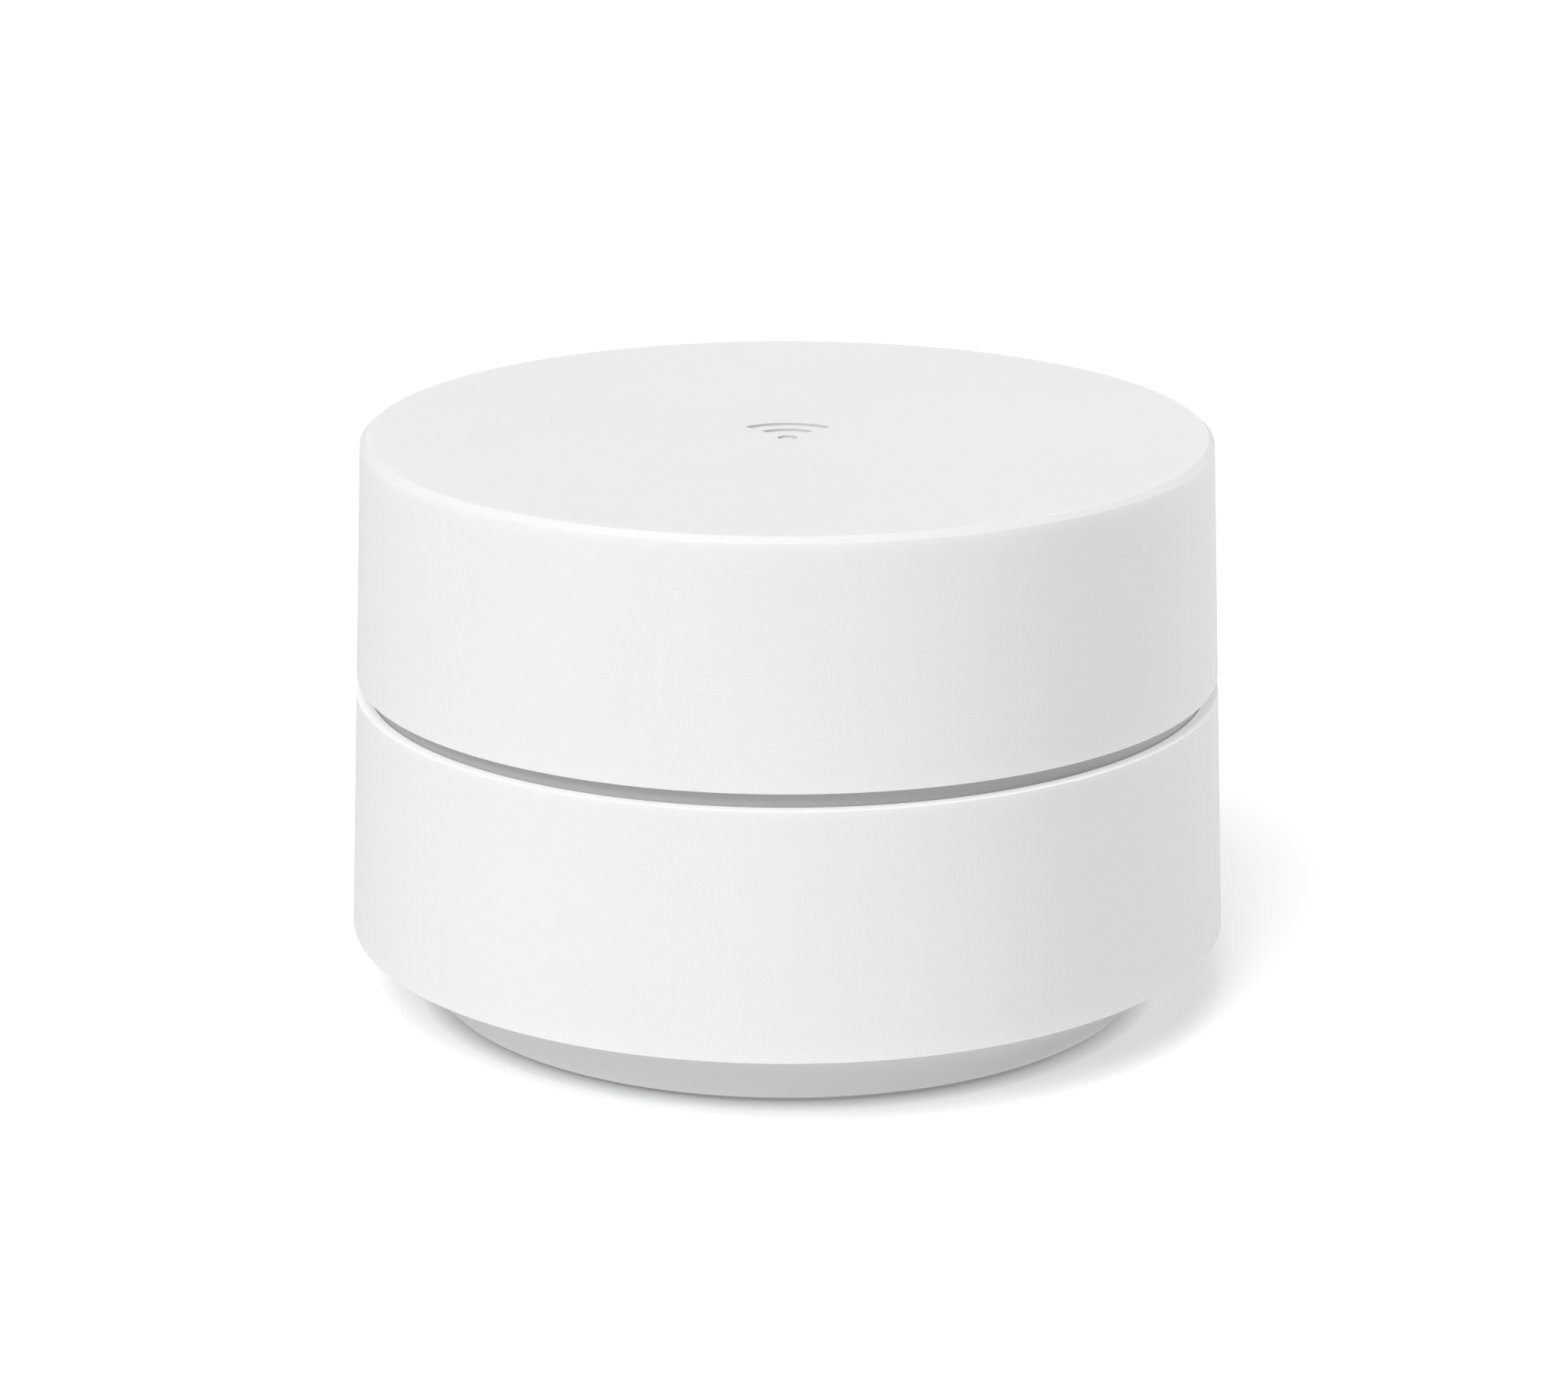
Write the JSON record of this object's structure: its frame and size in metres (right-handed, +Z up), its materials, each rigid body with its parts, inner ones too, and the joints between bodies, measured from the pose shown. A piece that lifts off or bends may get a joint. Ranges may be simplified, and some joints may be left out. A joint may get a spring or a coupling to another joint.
{
  "type": "wireless router",
  "caption": "Round tabletop wireless router: two tapered white shells with a recessed light ring, a conical base, a rear cable bay with sockets, and a sprung reset button.",
  "frame": {"origin": "centre of the foot's underside, on the surface the router stands on", "axes": "+Z up along the axis of the round body, +Y towards the cable bay and reset button at the rear, -Y the plain front, +X to the right seen from the front"},
  "size_m": [0.1062, 0.1062, 0.0688],
  "materials": {
    "white_plastic": "fine-textured matte white",
    "light_ring": "translucent grey diffuser",
    "inner_plastic": "plain moulded off-white",
    "grey_rubber": "soft matte grey",
    "label": "blank satin film label",
    "aluminium": "cast and blasted",
    "tinned_steel": "thin bright plated sheet",
    "steel_screw": "zinc-plated",
    "circuit_board": "green solder mask on glass laminate",
    "black_plastic": "black moulding compound",
    "gold_contact": "gold-plated spring contacts",
    "thermal_pad": "soft silicone gap filler",
    "led_lens": "clear epoxy over a white emitter",
    "flex": "amber polyimide film",
    "coax": "dark jacketed micro coax"
  },
  "bodies": {
    "housing": {"upper_shell": "white_plastic", "light_ring": "light_ring", "lower_shell": "white_plastic", "base_cover": "white_plastic", "port_bay": "white_plastic", "rubber_foot": "grey_rubber", "rating_label": "label", "case_screw_1": "steel_screw", "case_screw_2": "steel_screw", "case_screw_3": "steel_screw", "case_screw_4": "steel_screw", "reset_switch": "tinned_steel", "reset_board": "circuit_board", "reset_flex": "flex", "main_board": "circuit_board", "heat_sink": "aluminium", "lower_heat_plate": "aluminium", "processor_chip": "black_plastic", "memory_chip": "black_plastic", "radio_chip_left": "black_plastic", "radio_chip_right": "black_plastic", "flash_chip": "black_plastic", "network_transformer_left": "black_plastic", "network_transformer_right": "black_plastic", "processor_shield": "tinned_steel", "processor_thermal_pad": "thermal_pad", "radio_left_shield": "tinned_steel", "radio_left_thermal_pad": "thermal_pad", "radio_right_shield": "tinned_steel", "radio_right_thermal_pad": "thermal_pad", "power_shield": "tinned_steel", "power_thermal_pad": "thermal_pad", "power_inductor": "black_plastic", "wan_jack": "tinned_steel", "wan_jack_contacts": "gold_contact", "lan_jack": "tinned_steel", "lan_jack_contacts": "gold_contact", "power_socket": "tinned_steel", "power_socket_tongue": "black_plastic", "power_socket_riser": "black_plastic", "led_board": "circuit_board", "status_led_1": "led_lens", "status_led_2": "led_lens", "status_led_3": "led_lens", "status_led_4": "led_lens", "antenna_frame": "inner_plastic", "antenna_1": "circuit_board", "antenna_cable_1": "coax", "antenna_2": "circuit_board", "antenna_cable_2": "coax", "antenna_3": "circuit_board", "antenna_cable_3": "coax", "antenna_4": "circuit_board", "antenna_cable_4": "coax", "frame_screw_1": "steel_screw", "frame_screw_2": "steel_screw", "frame_screw_3": "steel_screw"},
    "reset_button_body": {"reset_button": "white_plastic"},
    "reset_plunger_body": {"reset_plunger": "black_plastic"}
  },
  "joints": [
    {"name": "reset_button_press", "type": "slide", "parent": "housing", "child": "reset_button_body", "axis": [0, -1, 0], "range_m": [0, 0.0006], "stiffness_N_per_m": 1500},
    {"name": "reset_plunger_press", "type": "slide", "parent": "housing", "child": "reset_plunger_body", "axis": [0, -1, 0], "range_m": [0, 0.0003]}
  ],
  "couplings": [
    {"joint": "reset_plunger_press", "follows": "reset_button_press", "ratio": 0.5}
  ]
}
